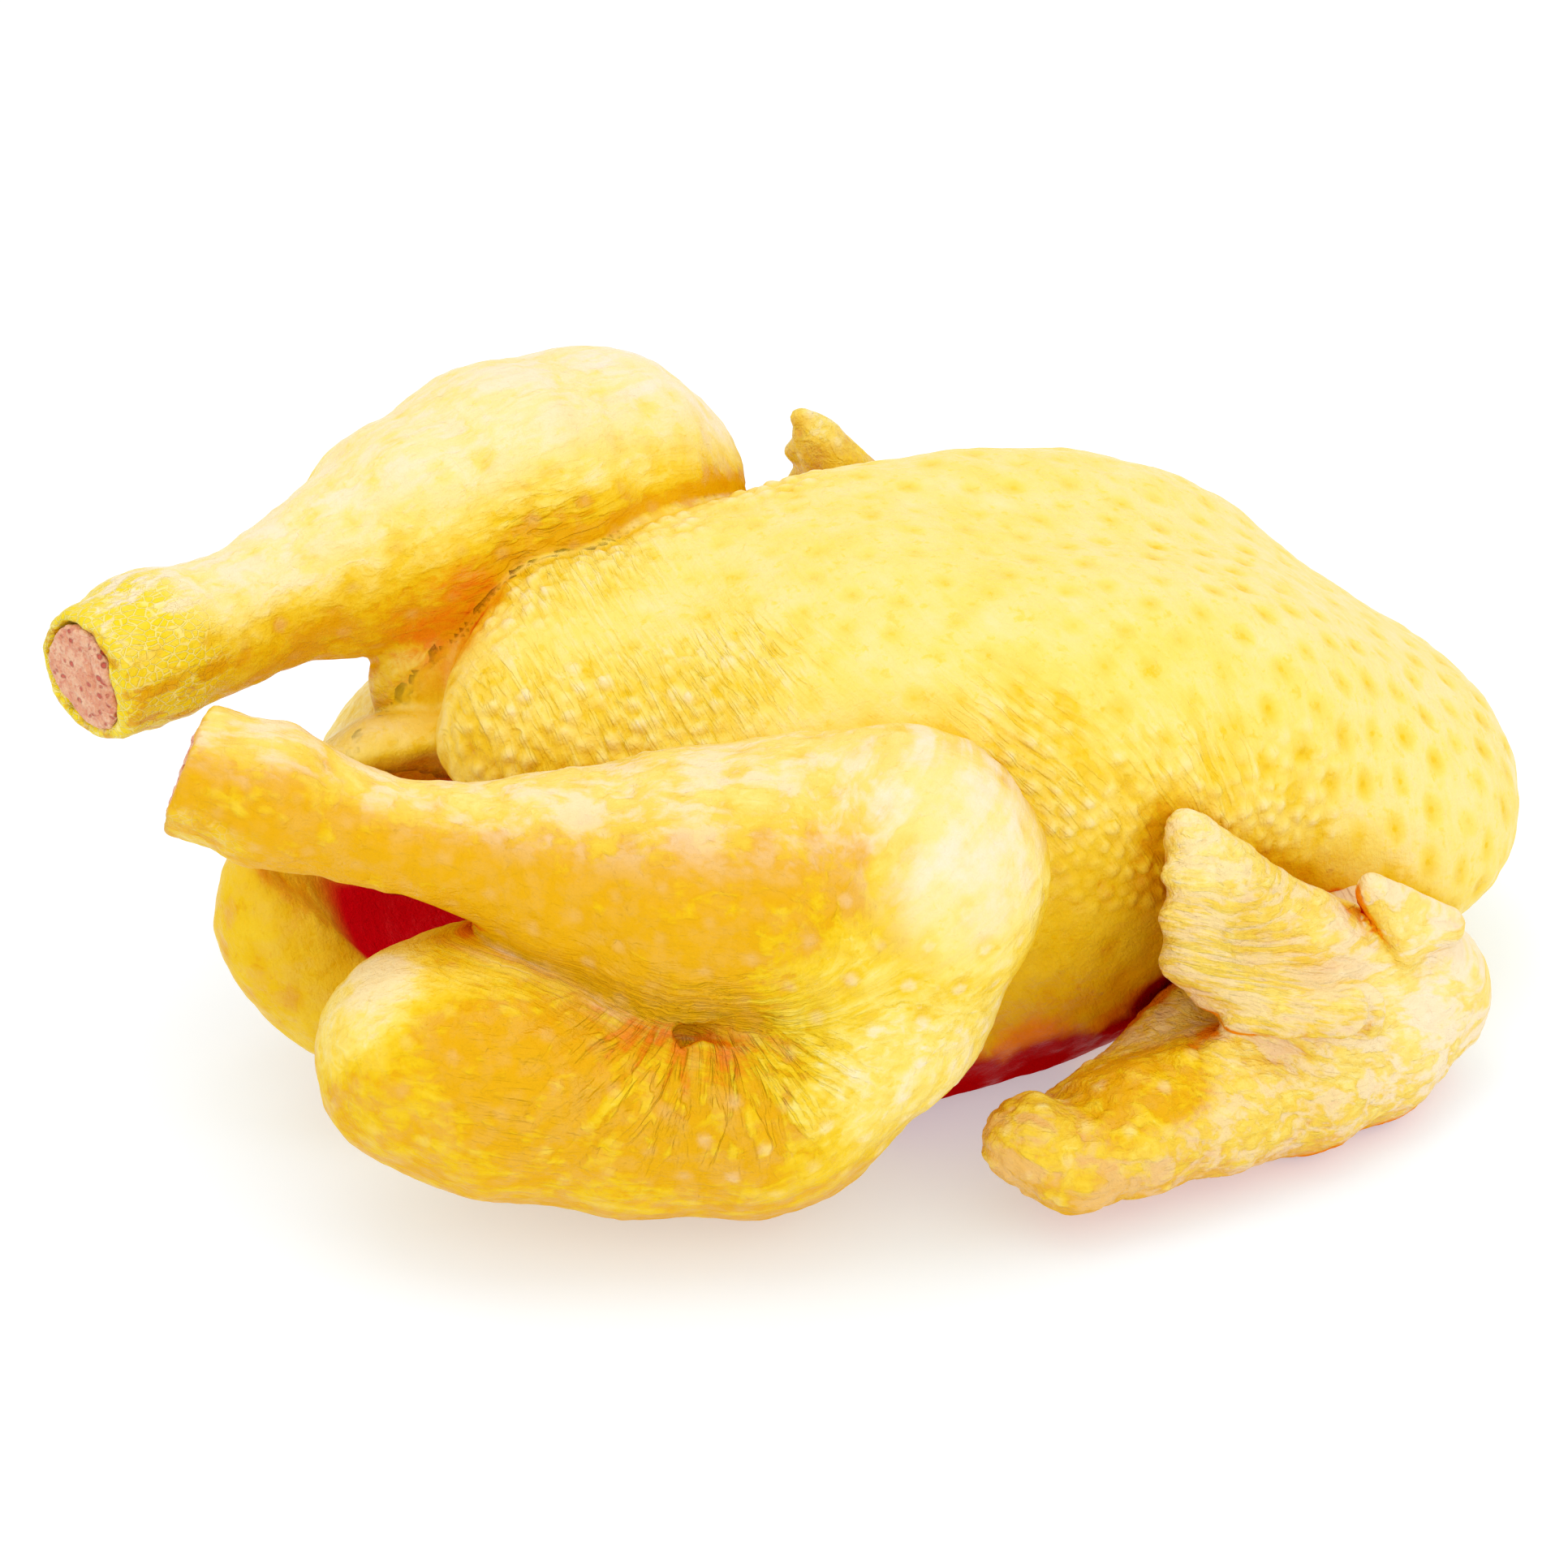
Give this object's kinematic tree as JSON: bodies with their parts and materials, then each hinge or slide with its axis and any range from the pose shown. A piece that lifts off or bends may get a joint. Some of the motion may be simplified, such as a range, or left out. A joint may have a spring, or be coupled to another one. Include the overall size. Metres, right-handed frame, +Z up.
{
  "type": "whole raw chicken",
  "caption": "Plucked and drawn whole raw bird lying on its back, legs drawn up, wings folded, body cavity open at the rear.",
  "frame": {"origin": "on the table under the middle of the bird's flat back", "axes": "+X from the tail to the front of the breast, +Y to the bird's right side, +Z up from the table to the breast"},
  "size_m": [0.2781, 0.189, 0.1207],
  "materials": {
    "skin": "moist, softly glossy yellow skin with goose bumps, paler and pinker on the high parts",
    "bone": "sawn bone and gristle, pink with dark red pores, damp"
  },
  "bodies": {
    "root": {"chicken": "skin", "leg_bone_left": "bone", "leg_bone_right": "bone"}
  },
  "joints": []
}
